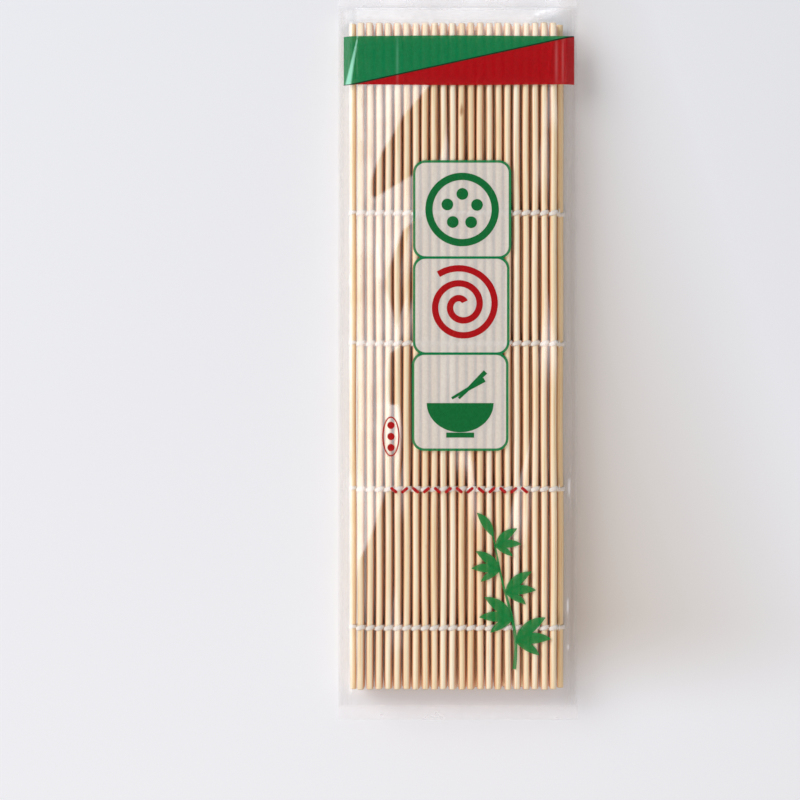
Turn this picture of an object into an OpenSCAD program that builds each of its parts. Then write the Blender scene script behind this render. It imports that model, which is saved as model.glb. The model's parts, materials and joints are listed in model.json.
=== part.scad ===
/* [Sticks] */
// Length of every bamboo stick
stick_len = 240; // [180:1:300]
// Diameter of every stick
stick_d = 2.5; // [2.2:0.05:2.9]
// Distance between the centres of neighbouring sticks
pitch = 3.3; // [3.3:0.05:4.2]

/* [Layers] */
// Height from the sticks of one folded layer to those of the next
layer_step = 3.5; // [3.5:0.05:4.2]

/* [Twine] */
// Width of one row of twine along the sticks
twine_w = 1.6; // [1.2:0.1:2.4]
// Thickness of the twine where it passes over a stick
twine_t = 0.25; // [0.15:0.01:0.25]
// Even distance from one row of twine to the next
row_gap = 49.4; // [35:0.1:55]
// Distance of the middle row from the middle of the sticks before it drifts
row_shift = 2.1; // [-5:0.1:5]
// Radius of the knots that end each row
knot_r = 0.7; // [0.5:0.05:0.75]

/* [Pouch] */
// Thickness of the clear film
film_t = 0.25; // [0.2:0.01:0.35]
// Room between the mat's left side and the pouch's left edge
left_room = 4.05; // [2.2:0.05:20]
// Room between the mat's right side and the pouch's right edge
right_room = 5.05; // [2.2:0.05:20]
// Room between the mat's end and the pouch's sealed end
end_room = 7; // [4:0.5:15]
// Length of the back film past the mat at the mouth
mouth_room = 7; // [5:0.5:15]
// Width of the heat-sealed strip across the closed end
seal_w = 5; // [3:0.5:10]
// Length of the closing flap at the mouth
flap_len = 33; // [20:1:50]
// Width of the adhesive strip on the flap
adhesive_w = 10; // [6:1:15]

/* [Hidden] */
$fn = 48;
LAYERS = 3;
ROWS = 5;
// Strips in the layer that rolls up, and the sticks in each
STRIPS = 7;
strip_sticks = 3;
// Sticks in each pair that moves as one in the two flat layers
pair_sticks = 2;
// How far each row of twine has drifted from its even place
ROW_DRIFT = [-1, 0, 2.5, -0.5, -1];
// Running room between a stick and the twine round it
stick_gap = 0.02;
// Room between the twine loops of two sticks that hinge on each other
hinge_gap = 0.04;
// Room between the mat and the film below and above it
film_gap = 0.15;
layer_sticks = 1 + STRIPS * strip_sticks;
stick_r = stick_d / 2;
loop_in = stick_r + stick_gap;
loop_r = loop_in + twine_t;
loop_cut = pitch - loop_r - hinge_gap;
// The bar of twine in the gap reaches this far into each of its two loops
tie_bite = 0.08;
tie_h = 0.6;
tie_w = twine_w * 0.6;
// Room between the last loop and its knot
knot_gap = 0.02;
last = layer_sticks - 1;
first_z = film_t + film_gap + loop_r;
// A side stick sits half a layer down, one pitch from both edge sticks
fold_drop = layer_step / 2;
fold_out = sqrt(pitch * pitch - fold_drop * fold_drop);
fold_angle = atan2(fold_drop, fold_out);
edge_x = last / 2 * pitch;
side_x = edge_x + fold_out;
mat_top = first_z + (LAYERS - 1) * layer_step + loop_r;
mat_half_w = side_x + loop_r;
mat_half_l = stick_len / 2;
film_top = mat_top + film_gap + film_t;
// Room between the mat's sides and the front film, at the film's top
film_side_room = 0.6;
back_mouth = mat_half_l + mouth_room;
// The front film ends this far short of the back film
lip_step = 2.5;
front_mouth = back_mouth - lip_step;
sealed_y = -mat_half_l - end_room;
// The front film is at its full height this far before the mat's end
end_lead = 1.8;
end_slope = end_room - end_lead;
pouch_left = -mat_half_w - left_room;
pouch_right = mat_half_w + right_room;
pouch_w = pouch_right - pouch_left;
corner_r = 4;
// Room for the crease between the back film and the flap
flap_gap = 0.4;
adhesive_t = 0.1;
adhesive_inset = 3;
crimp_pitch = 1;
crimp_t = 0.1;
// Thickness of the slices that a sloping block is stretched between
slice = 0.01;
// How far a cutting block runs past what it cuts
past = 0.1;
pairs_bottom = ceil(layer_sticks / pair_sticks);
pairs_middle = ceil(last / pair_sticks);

function stick_x(i) = (i - last / 2) * pitch;
function layer_z(k) = first_z + k * layer_step;
function row_y(r) = row_shift + ((ROWS - 1) / 2 - r) * row_gap + ROW_DRIFT[r];

// Sticks of each body as [place across, height, direction of the stick it hangs on]
BOTTOM = [for (i = [last : -1 : 0]) [stick_x(i), layer_z(0), 0]];
MIDDLE = [for (i = [last - 1 : -1 : 0]) [stick_x(i), layer_z(1), 0]];
TOP = [for (i = [1 : last]) [stick_x(i), layer_z(2), 180]];
SIDE_1 = [[side_x, layer_z(0) + fold_drop, 180 + fold_angle]];
EDGE_1 = [[edge_x, layer_z(1), -fold_angle]];
SIDE_2 = [[-side_x, layer_z(1) + fold_drop, -fold_angle]];
EDGE_2 = [[-edge_x, layer_z(2), 180 + fold_angle]];

function part_of(list, from, count) =
    [for (i = [from : min(from + count, len(list)) - 1]) list[i]];

// One round bamboo stick for each place in the list
module sticks(places) {
    color("burlywood")
        for (p = places)
            translate([p[0], 0, p[1]])
                rotate([90, 0, 0])
                    cylinder(h = stick_len, r = stick_r, center = true);
}

// Twine round one stick, cut flat where it would reach that of the stick that it hangs on
module twine_loop(p) {
    translate([p[0], 0, p[1]])
        rotate([90, 0, 0])
            linear_extrude(twine_w, center = true)
                difference() {
                    circle(loop_r);
                    circle(loop_in);
                    rotate(p[2])
                        translate([loop_cut, -loop_r])
                            square([loop_r, 2 * loop_r]);
                }
}

// Twisted twine in the gap on the side that p points to
module twine_tie(p) {
    tie_from = loop_in + tie_bite;
    tie_len = pitch - 2 * tie_from;
    translate([p[0], 0, p[1]])
        rotate([0, -p[2], 0])
            translate([tie_from, -tie_w / 2, -tie_h / 2])
                cube([tie_len, tie_w, tie_h]);
}

// Knot on the free side of the last stick
module twine_knot(p, side) {
    translate([p[0] + side * (loop_r + knot_gap + knot_r), 0, p[1]])
        sphere(knot_r);
}

// One row of twine: a loop round each stick, tied to the stick before it
module twine_row(places, r) {
    color("ivory")
        translate([0, row_y(r), 0])
            union() {
                for (p = places) twine_loop(p);
                for (i = [1 : 1 : len(places) - 1]) twine_tie(places[i]);
                children();
            }
}

// All rows of twine of a body that is one to three sticks wide
module twine_rows(places) {
    for (r = [0 : ROWS - 1]) twine_row(places, r);
}

// Bottom layer, counted from the first fold, with the knots on its free left edge
module bottom_sticks(n) {
    sticks(part_of(BOTTOM, (n - 1) * pair_sticks, pair_sticks));
}
module bottom_twine(n) {
    twine_row(BOTTOM, n - 1) twine_knot(BOTTOM[last], -1);
}

// Middle layer, counted from the first fold
module middle_sticks(n) {
    sticks(part_of(MIDDLE, (n - 1) * pair_sticks, pair_sticks));
}
module middle_twine(n) {
    twine_row(MIDDLE, n - 1);
}

// Top layer in strips, with the knots on its free right edge
module top_sticks(n) {
    sticks(part_of(TOP, (n - 1) * strip_sticks, strip_sticks));
}
module top_twine(n) {
    strip = part_of(TOP, (n - 1) * strip_sticks, strip_sticks);
    for (r = [0 : ROWS - 1])
        if (n == STRIPS) twine_row(strip, r) twine_knot(strip[len(strip) - 1], 1);
        else twine_row(strip, r);
}

// Back of the pouch, the flat face that everything rests on
module pouch_back_film() {
    color("lightcyan", 0.4)
        translate([pouch_left, sealed_y, 0])
            cube([pouch_w, back_mouth - sealed_y, film_t]);
}

// Block with sloping sides from the flat back up to the film's top
module film_block(inset, low, mouth) {
    top_x = mat_half_w + film_side_room + film_t - inset;
    hull() {
        translate([pouch_left + inset, sealed_y + inset, low])
            cube([pouch_w - 2 * inset, mouth - sealed_y - inset, slice]);
        translate([-top_x, sealed_y + end_slope + inset, film_top - inset - slice])
            cube([2 * top_x, mouth - sealed_y - end_slope - inset, slice]);
    }
}

// Front of the pouch, a shallow tray over the mat, open at the mouth
module pouch_front_film() {
    color("azure", 0.4)
        difference() {
            film_block(0, film_t, front_mouth);
            film_block(film_t, film_t - past, front_mouth + past);
        }
}

// Heat-sealed strip across the closed end, crimped in fine ribs
module pouch_end_seal() {
    crimps = floor(seal_w / crimp_pitch);
    color("lightcyan", 0.6)
        union() {
            translate([pouch_left, sealed_y - seal_w, 0])
                cube([pouch_w, seal_w, 2 * film_t]);
            for (i = [0 : crimps - 1])
                translate([pouch_left, sealed_y - seal_w + (i + 0.25) * crimp_pitch, 2 * film_t])
                    cube([pouch_w, crimp_pitch / 2, crimp_t]);
        }
}

// Closing flap that carries the back film on past the mouth
module pouch_flap() {
    color("lightcyan", 0.4)
        linear_extrude(film_t)
            difference() {
                translate([pouch_left, back_mouth + flap_gap])
                    square([pouch_w, flap_len]);
                translate([pouch_left, back_mouth + flap_gap + flap_len])
                    corner_waste();
                translate([pouch_right, back_mouth + flap_gap + flap_len])
                    mirror([1, 0])
                        corner_waste();
            }
}

// What is cut away outside a rounded corner
module corner_waste() {
    difference() {
        translate([-past, -corner_r]) square([corner_r + past, corner_r + past]);
        translate([corner_r, -corner_r]) circle(corner_r);
    }
}

// Peel-off adhesive on the flap's inner face
module flap_adhesive_strip() {
    color("white")
        translate([pouch_left + adhesive_inset, back_mouth + flap_len / 2, film_t])
            cube([pouch_w - 2 * adhesive_inset, adhesive_w, adhesive_t]);
}

for (n = [1 : pairs_bottom])
    bottom_sticks(n);
for (n = [1 : pairs_middle])
    middle_sticks(n);
for (n = [1 : STRIPS])
    top_sticks(n);
sticks(SIDE_1);  // fold_1_side_stick
sticks(EDGE_1);  // fold_1_edge_stick
sticks(SIDE_2);  // fold_2_side_stick
sticks(EDGE_2);  // fold_2_edge_stick
for (n = [1 : ROWS])
    bottom_twine(n);
for (n = [1 : ROWS])
    middle_twine(n);
for (n = [1 : STRIPS])
    top_twine(n);
twine_rows(SIDE_1);  // fold_1_side_twine
twine_rows(EDGE_1);  // fold_1_edge_twine
twine_rows(SIDE_2);  // fold_2_side_twine
twine_rows(EDGE_2);  // fold_2_edge_twine
pouch_back_film();
pouch_front_film();
pouch_end_seal();
pouch_flap();
flap_adhesive_strip();
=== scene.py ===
# %% [markdown]
# # A bamboo sushi mat in its clear pouch
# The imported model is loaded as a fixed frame: it knows where every stick, row of twine and sheet of film
# is, and which pieces move together. This lesson dresses that frame. Every new piece is worked out as one
# array of points, so a surface is a formula that can be read, and not a pile of hand-placed vertices.

# %% Load the frame
import json
import math

import bpy
import numpy as np
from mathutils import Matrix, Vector


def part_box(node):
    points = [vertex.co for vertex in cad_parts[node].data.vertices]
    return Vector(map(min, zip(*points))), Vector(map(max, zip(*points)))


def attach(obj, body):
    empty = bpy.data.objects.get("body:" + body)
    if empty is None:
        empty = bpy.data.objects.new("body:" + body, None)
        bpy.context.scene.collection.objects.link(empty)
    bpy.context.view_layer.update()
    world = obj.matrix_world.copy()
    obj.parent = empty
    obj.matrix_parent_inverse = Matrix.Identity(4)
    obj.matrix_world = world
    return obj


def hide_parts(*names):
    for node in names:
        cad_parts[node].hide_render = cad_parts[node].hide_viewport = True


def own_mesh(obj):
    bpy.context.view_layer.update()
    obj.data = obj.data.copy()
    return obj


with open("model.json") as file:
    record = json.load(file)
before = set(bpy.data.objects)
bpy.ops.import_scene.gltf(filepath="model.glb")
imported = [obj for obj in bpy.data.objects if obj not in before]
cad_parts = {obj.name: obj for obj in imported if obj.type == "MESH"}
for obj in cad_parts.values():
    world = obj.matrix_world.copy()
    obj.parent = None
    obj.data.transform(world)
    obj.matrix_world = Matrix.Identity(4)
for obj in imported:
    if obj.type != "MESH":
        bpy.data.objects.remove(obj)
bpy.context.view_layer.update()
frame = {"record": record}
MM = 0.001
rng = np.random.default_rng(24)

# %% [markdown]
# ## Sizes read from the frame
# A stick's diameter, the pitch between sticks and the rows of twine could be typed in again, but then they
# could drift from the model. The boxes of a few nodes give them all.

# %% Sizes
side_low, side_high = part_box("fold_1_edge_stick")
strip_low, strip_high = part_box("top_sticks_1")
film_low, film_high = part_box("pouch_front_film")
back_low, back_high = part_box("pouch_back_film")
STICK_R = (side_high.x - side_low.x) / 2
STICK_L = side_high.y - side_low.y
PITCH = (strip_high.x - strip_low.x - 2 * STICK_R) / 2
MAT_TOP = strip_high.z
ROWS = 5
STRIPS = 7
row_y = [sum(c.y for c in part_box(f"bottom_twine_{r + 1}")) / 2 for r in range(ROWS)]
print(f"stick {2000 * STICK_R:.2f} x {1000 * STICK_L:.0f} mm, pitch {1000 * PITCH:.2f} mm, rows", row_y)

# %% [markdown]
# ## Camera
# The photograph faces the mat square on. The mat lies on its back here, so the camera hangs straight above
# it and its up direction is +Y, along the sticks. A long lens keeps the sticks parallel. The picture is
# PICTURE_W wide at the height of the top layer, and its middle lies a little left of the mat's and towards
# the sealed end.

# %% Camera
PICTURE_W = 287.5 * MM
PICTURE_MIDDLE = (-20.55 * MM, -15.8 * MM)
LENS, SENSOR = 100, 36

camera_data = bpy.data.cameras.new("camera")
camera_data.lens = LENS
camera_data.sensor_width = SENSOR
camera = bpy.data.objects.new("camera", camera_data)
camera.location = (*PICTURE_MIDDLE, MAT_TOP + PICTURE_W * LENS / SENSOR)
bpy.context.scene.collection.objects.link(camera)
bpy.context.scene.camera = camera
bpy.context.scene.view_settings.view_transform = "Standard"
print("camera height:", round(camera.location.z, 3), "m")

# %% [markdown]
# ## Small helpers
# Colours are written as the hex codes that a picture editor shows, and Blender wants linear light, so one
# function converts them. Another adds a shader node with its settings and links in one line.

# %% Helpers for colours and nodes
def linear(code, alpha=1.0):
    """The linear colour of an sRGB hex code: below 0.04045 a straight line, above it a power of 2.4."""
    values = [int(code[i:i + 2], 16) / 255 for i in (1, 3, 5)]
    return (*[v / 12.92 if v <= 0.04045 else ((v + 0.055) / 1.055) ** 2.4 for v in values], alpha)


def add(tree, kind, inputs=None, stops=(), **settings):
    """Adds a node: settings are its own properties, inputs are socket values or the outputs they are
    linked to, and stops are the places and hex codes of a colour ramp."""
    made = tree.nodes.new(kind)
    for key, value in settings.items():
        setattr(made, key, value)
    for key, value in (inputs or {}).items():
        if isinstance(value, bpy.types.NodeSocket):
            tree.links.new(value, made.inputs[key])
        else:
            made.inputs[key].default_value = value
    for i, (place, code) in enumerate(stops):
        stop = made.color_ramp.elements[i] if i < 2 else made.color_ramp.elements.new(place)
        stop.position, stop.color = place, linear(code)
    return made


def new_material(name):
    """An empty material, its tree, the Object coordinates and the socket that takes its surface."""
    made = bpy.data.materials.new(name)
    made.use_nodes = True
    tree = made.node_tree
    tree.nodes.clear()
    place = add(tree, "ShaderNodeTexCoord").outputs["Object"]
    return made, tree, place, add(tree, "ShaderNodeOutputMaterial").inputs["Surface"]


# %% [markdown]
# ## Floor and light
# A pale floor stands for the painted wall behind the pack. A broad key lamp at the upper left, as large as
# a window, gives the soft shadow on the right. It could be small and near, but then the film would mirror
# it as one white patch, and the floor below it would burn out. A weaker, slightly warm lamp stands over the
# middle of the mat, towards the sealed end. It is narrow across the sticks, so it reaches down between
# them, and the film mirrors it past the camera. With a cool sky it fills the shadow. Together they are kept
# at a level at which a colour renders about as it is written. What the camera sees of the sky, directly or
# mirrored in the film, is as bright as the floor, and the floor fades into it with distance, so a low view
# has no dark horizon. In the photograph the pack leans on the wall with its foot away from it, so its
# shadow grows wider and deeper towards the sealed end. A pack that lies flat casts no such shadow, so that
# part of it is painted on the floor: a warm grey that fades along a slanted line.

# %% Floor, lamp and world
FLOOR_SIZE, FLOOR_DROP = 14.0, 0.3 * MM
SKY_STRENGTH, BACKDROP_STRENGTH, BACKDROP = 0.29, 0.91, "#F4F8FF"
FADE_FROM, FADE_TO = 0.45, 1.5
SHADE_LEAN, SHADE_DEEP, SHADE_FROM, SHADE_TO = 0.33, 0.74, 10 * MM, 114 * MM
SHADE_EDGES = {"X": (35 * MM, 42 * MM), "Y": (-134 * MM, -92 * MM)}


def seen(tree):
    """1 for a ray that the camera or a mirror sends out, 0 for a ray that lights something."""
    ray = add(tree, "ShaderNodeLightPath").outputs
    both = {0: ray["Is Camera Ray"], 1: ray["Is Glossy Ray"]}
    return add(tree, "ShaderNodeMath", both, operation="MAXIMUM").outputs[0]


reach = FLOOR_SIZE / 2
floor_data = bpy.data.meshes.new("floor")
corners = [(x * reach, y * reach, -FLOOR_DROP) for x, y in ((-1, -1), (1, -1), (1, 1), (-1, 1))]
floor_data.from_pydata(corners, [], [(0, 1, 2, 3)])
floor = bpy.data.objects.new("floor", floor_data)
bpy.context.scene.collection.objects.link(floor)

paint, tree, place, out = new_material("painted_wall")
mottle = add(tree, "ShaderNodeTexNoise", {"Scale": 9.0, "Detail": 3.0})
wall = add(
    tree, "ShaderNodeValToRGB", {0: mottle.outputs["Fac"]},
    [(0.35, "#E8F0F8"), (0.65, "#EDF5FD")],
).outputs[0]
axes = add(tree, "ShaderNodeSeparateXYZ", {0: place}).outputs
slanted = add(tree, "ShaderNodeVectorMath", {0: place, 1: (1, SHADE_LEAN, 0)}, operation="DOT_PRODUCT")
depth = add(
    tree, "ShaderNodeMapRange",
    {"Value": slanted.outputs["Value"], "From Min": SHADE_FROM, "From Max": SHADE_TO, "To Min": SHADE_DEEP,
     "To Max": 0.0},
).outputs[0]
for axis, (low, high) in SHADE_EDGES.items():
    edge = add(
        tree, "ShaderNodeMapRange", {"Value": axes[axis], "From Min": low, "From Max": high},
        interpolation_type="SMOOTHSTEP",
    )
    depth = add(tree, "ShaderNodeMath", {0: depth, 1: edge.outputs[0]}, operation="MULTIPLY").outputs[0]
shaded = add(tree, "ShaderNodeMixRGB", {"Fac": depth, "Color1": wall, "Color2": linear("#B6AC9C")})
matt = add(tree, "ShaderNodeBsdfPrincipled", {"Base Color": shaded.outputs["Color"], "Roughness": 0.9})
distance = add(tree, "ShaderNodeVectorMath", {0: place}, operation="LENGTH").outputs["Value"]
far = add(
    tree, "ShaderNodeMapRange", {"Value": distance, "From Min": FADE_FROM, "From Max": FADE_TO},
    interpolation_type="SMOOTHSTEP",
)
fade = add(tree, "ShaderNodeMath", {0: far.outputs[0], 1: seen(tree)}, operation="MULTIPLY")
haze = add(tree, "ShaderNodeEmission", {"Color": linear(BACKDROP), "Strength": BACKDROP_STRENGTH})
ground = add(tree, "ShaderNodeMixShader", {0: fade.outputs[0], 1: matt.outputs[0], 2: haze.outputs[0]})
tree.links.new(ground.outputs[0], out)
floor_data.materials.append(paint)


def soft_lamp(name, place, size, power, colour):
    """An area lamp that faces the origin. Its power is in watts, its size across and along in metres."""
    data = bpy.data.lights.new(name, "AREA")
    data.shape = "RECTANGLE"
    data.size, data.size_y = size
    data.energy, data.color = power, linear(colour)[:3]
    lamp = bpy.data.objects.new(name, data)
    lamp.location = place
    lamp.rotation_euler = Vector([-c for c in place]).to_track_quat("-Z", "Y").to_euler()
    bpy.context.scene.collection.objects.link(lamp)


soft_lamp("key_lamp", (-2.28, 1.38, 1.79), (2.2, 2.2), 76.0, "#FFFCFA")
soft_lamp("fill_lamp", (0.0, -0.80, 1.25), (0.4, 0.8), 9.3, "#FFE6D6")

world = bpy.data.worlds.new("sky")
world.use_nodes = True
tree = world.node_tree
strength = add(
    tree, "ShaderNodeMapRange", {"Value": seen(tree), "To Min": SKY_STRENGTH, "To Max": BACKDROP_STRENGTH},
)
sky = tree.nodes["Background"]
sky.inputs["Color"].default_value = linear(BACKDROP)
tree.links.new(strength.outputs["Result"], sky.inputs["Strength"])
bpy.context.scene.world = world
print(f"floor {FLOOR_SIZE:.0f} m wide, sky at {SKY_STRENGTH}")

# %% [markdown]
# ## From an array to a mesh
# Each piece is made of one or more grids: points[piece, along, around]. Neighbours are joined by quads,
# which are also worked out as whole arrays. A tube closes around itself and gets a cap at each end.

# %% Mesh maker
def surface(name, points, around=False, caps=False, values=None):
    """A mesh from grids of points[piece, along, around, xyz]. Quad (i, j) joins the points at rows i and
    i+1 and columns j and j+1; with around, the last column joins the first; caps closes the first and last
    rows."""
    points = np.asarray(points, float)
    if points.ndim == 3:
        points = points[None]
    pieces, rows, cols = points.shape[:3]
    index = np.arange(pieces * rows * cols).reshape(pieces, rows, cols)
    here = index if around else index[:, :, :-1]
    beside = np.roll(index, -1, axis=2) if around else index[:, :, 1:]
    quads = np.stack([here[:, :-1], beside[:, :-1], beside[:, 1:], here[:, 1:]], axis=-1)
    faces = quads.reshape(-1, 4).tolist()
    if caps:
        faces += index[:, 0, ::-1].tolist() + index[:, -1].tolist()
    mesh = bpy.data.meshes.new(name)
    mesh.from_pydata(points.reshape(-1, 3), [], faces)
    for key, value in (values or {}).items():
        flat = np.broadcast_to(value, (pieces, rows, cols)).astype(np.float32).ravel()
        mesh.attributes.new(key, "FLOAT", "POINT").data.foreach_set("value", flat)
    smooth = np.ones(len(mesh.polygons), bool)
    if caps:
        smooth[-2 * pieces:] = False
    mesh.polygons.foreach_set("use_smooth", smooth)
    mesh.update()
    piece = bpy.data.objects.new(name, mesh)
    bpy.context.scene.collection.objects.link(piece)
    return piece


def dress(piece, body, slot, material, *nodes):
    """Gives a piece its material and its body, and hides the nodes that it stands for. The slot is not used.
    """
    piece.data.materials.append(material)
    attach(piece, body)
    if nodes:
        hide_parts(*nodes)
    return piece


# %% [markdown]
# ## Bamboo
# The sticks are planed moso bamboo, split and turned to round, with no varnish. Up close the fibres run the
# whole length, so the colour is a noise that is stretched along Y: about 0.4 mm wide and some centimetres
# long. Each stick also has its own tone, kept as an attribute of its points, because sticks come from
# different parts of the cane. The flanks that face the neighbours are painted a deeper orange brown, which
# is painted shade: the dim, warm light down in the narrow gaps between sticks. It is a second attribute. The
# outer flank of a stick at a fold has no neighbour, so it gets only a quarter of that painted shade.

# %% Material: planed bamboo
FIBRE_W, FIBRE_STRETCH = 0.35 * MM, 0.012
BLEMISH_W = 5.0 * MM

bamboo, tree, place, out = new_material("planed_bamboo")
along = add(tree, "ShaderNodeMapping", {"Vector": place, "Scale": (1, FIBRE_STRETCH, 1)}).outputs["Vector"]
fibre = add(
    tree, "ShaderNodeTexNoise", {"Vector": along, "Scale": 1 / FIBRE_W, "Detail": 4.0, "Roughness": 0.6},
)
cream = add(
    tree, "ShaderNodeValToRGB", {0: fibre.outputs["Fac"]},
    [(0.28, "#E8CA9C"), (0.45, "#FCF2D9"), (0.62, "#FFFDF4")],
).outputs[0]
own = add(tree, "ShaderNodeAttribute", attribute_name="tone").outputs["Fac"]
tint = add(
    tree, "ShaderNodeValToRGB", {0: own},
    [(0.0, "#EED9B0"), (0.5, "#FAF5E2"), (1.0, "#FDFFF8")],
).outputs[0]
toned = add(tree, "ShaderNodeMixRGB", {"Fac": 0.8, "Color1": cream, "Color2": tint}, blend_type="MULTIPLY")
broad = add(tree, "ShaderNodeMapping", {"Vector": place, "Scale": (1, 0.25, 1)}).outputs["Vector"]
spots = add(tree, "ShaderNodeTexNoise", {"Vector": broad, "Scale": 1 / BLEMISH_W, "Detail": 2.0})
blemish = add(
    tree, "ShaderNodeMapRange", {"Value": spots.outputs["Fac"], "From Min": 0.72, "From Max": 0.80},
)
marked = add(
    tree, "ShaderNodeMixRGB",
    {"Fac": blemish.outputs["Result"], "Color1": toned.outputs["Color"], "Color2": linear("#A8713E")},
)
# Painted shade: the flanks that face the neighbouring sticks turn a deeper orange brown.
painted_flank_shade = add(tree, "ShaderNodeAttribute", attribute_name="painted_flank_shade").outputs["Fac"]
sided = add(
    tree, "ShaderNodeMixRGB",
    {"Fac": painted_flank_shade, "Color1": marked.outputs["Color"], "Color2": linear("#E27E38")},
)
end_grain = add(tree, "ShaderNodeAttribute", attribute_name="end").outputs["Fac"]
cut = add(
    tree, "ShaderNodeMixRGB",
    {"Fac": end_grain, "Color1": sided.outputs["Color"], "Color2": linear("#C59A66")},
)
ridges = add(
    tree, "ShaderNodeBump", {"Height": fibre.outputs["Fac"], "Strength": 0.2, "Distance": 0.08 * MM},
)
wood = add(
    tree, "ShaderNodeBsdfPrincipled",
    {"Base Color": cut.outputs["Color"], "Roughness": 0.5, "Normal": ridges.outputs["Normal"]},
)
tree.links.new(wood.outputs[0], out)

# %% [markdown]
# ## The sticks
# A stick could be one cylinder, but real ones are a little out of round, bow slightly, end unevenly and
# have a broken edge at the cut. All that is a change of radius and of middle line along the stick, so a few
# numbers drawn for each stick are enough. The twine holds the sticks straight at every row, so the bow is a
# sine that is zero there. It stays within a fifth of a millimetre, or neighbours would touch. The layers of
# a folded mat never lie exactly over each other, so the lower two are moved sideways by LAYER_SHIFT, one
# each way, and no gap of the top layer looks straight through to the back. The folds keep their place, so
# the shift fades towards them.

# %% Make the sticks
STATIONS, FACETS = 49, 20
BOW, END_SHORTFALL, EDGE_BREAK = 0.17 * MM, 0.25 * MM, 0.25 * MM
THINNEST, LOBES, CUT_R = 0.97, (0.025, 0.02), 0.84
SWELL_X, SWELL_Z, BEND_Z = 55 * MM, 40 * MM, 0.4 * BOW
TONE, TONE_SPREAD = 0.55, 0.24
LAYER_SHIFT = {"bottom": -0.35 * MM, "middle": 0.35 * MM}
EDGE_X = (side_low.x + side_high.x) / 2
FLANK_FROM, FLANK_DEPTH, OUTER_SHARE = 0.62, 0.9, 0.25
row_middle, row_step = row_y[2], (row_y[0] - row_y[-1]) / (ROWS - 1)


def stick_centres(node):
    """Middle points (x, z) of the sticks in a node, evenly spaced across its box and moved with their
    layer: by its shift times one less the eighth power of x over the edge's x."""
    low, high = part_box(node)
    count = round((high.x - low.x - 2 * STICK_R) / PITCH) + 1
    xs = np.linspace(low.x + STICK_R, high.x - STICK_R, count)
    shift = LAYER_SHIFT.get(node.split("_")[0], 0) * (1 - (xs / EDGE_X) ** 8)
    return np.column_stack([xs + shift, np.full(count, (low.z + high.z) / 2)])


def make_sticks(node, body):
    """Tubes along Y. Middle line: centre plus bow times sine. Radius: the stick's, times a slow two-lobed
    and three-lobed ripple around, drawn in at both ends for the broken edge."""
    centres = stick_centres(node)
    count = len(centres)
    share = np.linspace(0, 1, STATIONS - 2)
    reach = STICK_L / 2 - END_SHORTFALL * rng.random((count, 2))
    inner = -reach[:, :1] + EDGE_BREAK + share * (reach.sum(1, keepdims=True) - 2 * EDGE_BREAK)
    y = np.hstack([-reach[:, :1], inner, reach[:, 1:]])
    turn = np.linspace(0, -2 * np.pi, FACETS, endpoint=False)
    lobes = rng.uniform(0, 2 * np.pi, (count, 4))
    out_of_round = 1 - LOBES[0] * (1 + np.cos(2 * turn + lobes[:, :1])) / 2
    out_of_round = out_of_round - LOBES[1] * (1 + np.cos(3 * turn + lobes[:, 1:2])) / 2
    edge = np.ones(STATIONS)
    edge[[0, -1]] = CUT_R
    thin = rng.uniform(THINNEST, 1, (count, 1, 1))
    radius = STICK_R * thin * out_of_round[:, None, :] * edge[None, :, None]
    between_rows = np.sin(np.pi * (y - row_middle) / row_step)
    swell = np.sin(y / SWELL_X + lobes[:, 2:3])
    bend_x = BOW * between_rows * swell
    bend_z = BEND_Z * between_rows * np.sin(y / SWELL_Z + lobes[:, 3:4])
    points = np.stack([
        centres[:, :1, None] + bend_x[:, :, None] + radius * np.cos(turn),
        np.broadcast_to(y[:, :, None], radius.shape),
        centres[:, 1:, None] + bend_z[:, :, None] + radius * np.sin(turn),
    ], axis=-1)
    # The side sticks at the folds all get the lowest tone, so they are darker.
    tone = np.clip(rng.normal(TONE, TONE_SPREAD, count), 0, 1)[:, None, None] * (0 if "side" in node else 1)
    end = np.zeros((1, STATIONS, 1))
    end[:, [0, -1]] = 1
    # Painted shade on the flanks that face a neighbour; an outer flank at a fold gets a quarter of it.
    painted_flank_shade = FLANK_DEPTH * np.clip((np.abs(np.cos(turn)) - FLANK_FROM) / (1 - FLANK_FROM), 0, 1)
    outer = np.sign(np.cos(turn)) * centres[:, :1, None] > EDGE_X - PITCH / 2
    values = {"tone": tone, "end": end, "painted_flank_shade": painted_flank_shade * np.where(outer, OUTER_SHARE, 1)}
    piece = surface(f"{node}_bamboo", points, around=True, caps=True, values=values)
    return dress(piece, body, "bamboo", bamboo, node)


body_of = {n: b for b, nodes in frame["record"]["behaviour"]["bodies"].items() for n in nodes}
stick_nodes = sorted(n for n in body_of if "_stick" in n)
for node in stick_nodes:
    make_sticks(node, body_of[node])
print("stick pieces:", len(stick_nodes))

# %% [markdown]
# ## Cotton twine
# Each row is two cotton threads that take turns over and under the sticks and cross in every gap, which
# weavers call twining. Seen from above that leaves a short slanted bead on each stick. The threads could be
# curves with a bevel, but as one swept grid they can be flattened against the sticks and carry the twist of
# their own plies.

# %% Material: unbleached cotton
cotton, tree, place, out = new_material("spun_cotton")
fluff = add(tree, "ShaderNodeTexNoise", {"Vector": place, "Scale": 1 / (0.25 * MM), "Detail": 3.0})
white = add(
    tree, "ShaderNodeValToRGB", {0: fluff.outputs["Fac"]},
    [(0.3, "#DDDAD2"), (0.7, "#F4F3F0")],
).outputs[0]
fuzz = add(tree, "ShaderNodeBump", {"Height": fluff.outputs["Fac"], "Strength": 0.5, "Distance": 0.06 * MM})
yarn = add(
    tree, "ShaderNodeBsdfPrincipled",
    {"Base Color": white, "Roughness": 0.9, "Sheen Weight": 0.3, "Normal": fuzz.outputs["Normal"]},
)
tree.links.new(yarn.outputs[0], out)

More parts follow.
